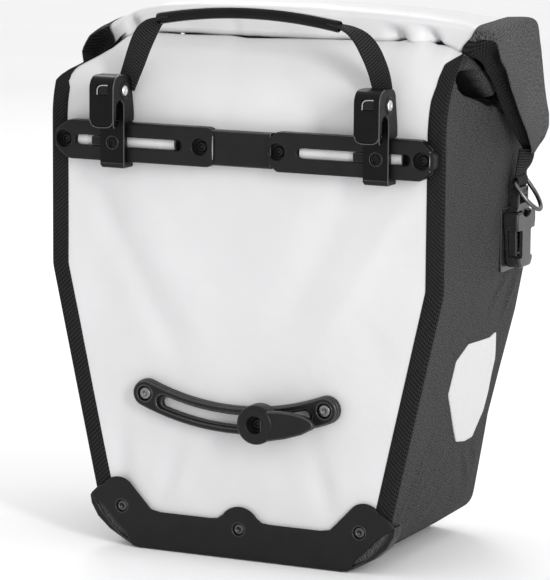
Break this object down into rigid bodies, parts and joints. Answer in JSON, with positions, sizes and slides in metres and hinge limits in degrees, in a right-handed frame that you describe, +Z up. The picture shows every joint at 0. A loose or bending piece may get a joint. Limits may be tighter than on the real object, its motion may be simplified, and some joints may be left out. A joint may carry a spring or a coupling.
{
  "type": "roll-top pannier bag",
  "caption": "Roll-top pannier bag with coated white panels, black sides, a sliding hook rail, carry handle and adjustable lower hook.",
  "frame": {"origin": "middle of the flat base, on the ground", "axes": "+X across the bag to the right as seen from the rack side, -Y towards the bicycle rack, +Z up"},
  "size_m": [0.3692, 0.2005, 0.4122],
  "materials": {
    "white_tarp": "satin coated tarpaulin",
    "black_cloth": "matt coated weave",
    "black_plastic": "satin moulded",
    "grip_plastic": "glossy tube",
    "webbing": "ribbed webbing",
    "board": "satin",
    "reflector": "pearly film",
    "rivet_steel": "bright",
    "screw_steel": "black oxide",
    "ring_steel": "dark nickel"
  },
  "bodies": {
    "root": {"back_panel": "white_tarp", "front_panel": "white_tarp", "bottom_panel": "white_tarp", "back_shoulder": "white_tarp", "front_shoulder": "white_tarp", "roll_top": "white_tarp", "side_panel_left": "black_cloth", "side_panel_right": "black_cloth", "back_strip_left": "black_cloth", "back_strip_right": "black_cloth", "front_strip_left": "black_cloth", "front_strip_right": "black_cloth", "ear_left": "black_cloth", "ear_right": "black_cloth", "back_stiffener": "board", "rail_backing_strip": "board", "closure_stiffener": "board", "hook_rail": "black_plastic", "arc_rail": "black_plastic", "bottom_protector": "black_plastic", "buckle_plate_left": "black_plastic", "buckle_plate_right": "black_plastic", "buckle_socket_left": "black_plastic", "buckle_socket_right": "black_plastic", "rail_screw_1": "screw_steel", "rail_screw_2": "screw_steel", "rail_screw_3": "screw_steel", "rail_screw_4": "screw_steel", "arc_screw_1": "screw_steel", "arc_screw_2": "screw_steel", "protector_screw_1": "screw_steel", "protector_screw_2": "screw_steel", "protector_screw_3": "screw_steel", "reflector_left": "reflector", "reflector_right": "reflector", "ear_strap_left": "webbing", "ear_strap_right": "webbing"},
    "handle": {"handle_grip": "grip_plastic"},
    "strap_left": {"handle_strap_left": "webbing"},
    "hook_left": {"hook_left": "black_plastic", "hook_screw_left": "screw_steel", "hook_rivet_left": "rivet_steel"},
    "latch_left": {"latch_left": "black_plastic"},
    "clip_left": {"clip_left": "black_plastic"},
    "prong_left_back": {"prong_left_back": "black_plastic"},
    "prong_left_front": {"prong_left_front": "black_plastic"},
    "ring_left": {"d_ring_left": "ring_steel"},
    "strap_right": {"handle_strap_right": "webbing"},
    "hook_right": {"hook_right": "black_plastic", "hook_screw_right": "screw_steel", "hook_rivet_right": "rivet_steel"},
    "latch_right": {"latch_right": "black_plastic"},
    "clip_right": {"clip_right": "black_plastic"},
    "prong_right_back": {"prong_right_back": "black_plastic"},
    "prong_right_front": {"prong_right_front": "black_plastic"},
    "ring_right": {"d_ring_right": "ring_steel"},
    "carriage": {"lower_hook_nut": "ring_steel", "lower_hook_screw": "screw_steel"},
    "lower_hook": {"lower_hook_finger": "black_plastic"}
  },
  "joints": [
    {"name": "handle_lift", "type": "slide", "parent": "root", "child": "handle", "axis": [0, 0, 1], "range_m": [0, 0.0065]},
    {"name": "hook_left_slide", "type": "slide", "parent": "root", "child": "hook_left", "axis": [1, 0, 0], "range_m": [-0.012, 0.025]},
    {"name": "latch_left_turn", "type": "hinge", "parent": "hook_left", "child": "latch_left", "pos_m": [-0.0995, -0.0991, 0.3475], "axis": [1, 0, 0], "range_deg": [0, 28]},
    {"name": "strap_left_shift", "type": "slide", "parent": "handle", "child": "strap_left", "axis": [1, 0, 0], "range_m": [-0.012, 0.025], "deforming": ["handle_strap_left"]},
    {"name": "hook_right_slide", "type": "slide", "parent": "root", "child": "hook_right", "axis": [1, 0, 0], "range_m": [-0.025, 0.012]},
    {"name": "latch_right_turn", "type": "hinge", "parent": "hook_right", "child": "latch_right", "pos_m": [0.113, -0.0991, 0.3475], "axis": [1, 0, 0], "range_deg": [0, 28]},
    {"name": "strap_right_shift", "type": "slide", "parent": "handle", "child": "strap_right", "axis": [1, 0, 0], "range_m": [-0.025, 0.012], "deforming": ["handle_strap_right"]},
    {"name": "lower_hook_travel", "type": "hinge", "parent": "root", "child": "carriage", "pos_m": [-0.003, -0.0903, 0.306], "axis": [0, -1, 0], "range_deg": [-20, 7.5]},
    {"name": "lower_hook_turn", "type": "hinge", "parent": "carriage", "child": "lower_hook", "pos_m": [0.02137, -0.1065, 0.10749], "axis": [0, -1, 0], "range_deg": [-90, 90]},
    {"name": "clip_left_release", "type": "slide", "parent": "root", "child": "clip_left", "axis": [0, 0, 1], "range_m": [0, 0.014], "deforming": ["ear_strap_left"]},
    {"name": "prong_left_back_squeeze", "type": "hinge", "parent": "clip_left", "child": "prong_left_back", "pos_m": [-0.1683, 0.0315, 0.254], "axis": [1, 0, 0], "range_deg": [0, 8], "stiffness_Nm_per_rad": 0.05},
    {"name": "prong_left_front_squeeze", "type": "hinge", "parent": "clip_left", "child": "prong_left_front", "pos_m": [-0.1683, 0.0555, 0.254], "axis": [-1, 0, 0], "range_deg": [0, 8], "stiffness_Nm_per_rad": 0.05},
    {"name": "ring_left_swing", "type": "hinge", "parent": "clip_left", "child": "ring_left", "pos_m": [-0.1683, 0.0435, 0.2805], "axis": [0, 1, 0], "range_deg": [0, 60]},
    {"name": "clip_right_release", "type": "slide", "parent": "root", "child": "clip_right", "axis": [0, 0, 1], "range_m": [0, 0.014], "deforming": ["ear_strap_right"]},
    {"name": "prong_right_back_squeeze", "type": "hinge", "parent": "clip_right", "child": "prong_right_back", "pos_m": [0.1683, 0.0315, 0.254], "axis": [1, 0, 0], "range_deg": [0, 8], "stiffness_Nm_per_rad": 0.05},
    {"name": "prong_right_front_squeeze", "type": "hinge", "parent": "clip_right", "child": "prong_right_front", "pos_m": [0.1683, 0.0555, 0.254], "axis": [-1, 0, 0], "range_deg": [0, 8], "stiffness_Nm_per_rad": 0.05},
    {"name": "ring_right_swing", "type": "hinge", "parent": "clip_right", "child": "ring_right", "pos_m": [0.1683, 0.0435, 0.2805], "axis": [0, -1, 0], "range_deg": [0, 60]}
  ],
  "couplings": [
    {"joint": "latch_left_turn", "follows": "handle_lift", "rad_per_m": 75},
    {"joint": "strap_left_shift", "follows": "hook_left_slide", "ratio": 1},
    {"joint": "latch_right_turn", "follows": "handle_lift", "rad_per_m": 75},
    {"joint": "strap_right_shift", "follows": "hook_right_slide", "ratio": 1},
    {"joint": "prong_left_front_squeeze", "follows": "prong_left_back_squeeze", "ratio": 1},
    {"joint": "prong_right_front_squeeze", "follows": "prong_right_back_squeeze", "ratio": 1}
  ]
}
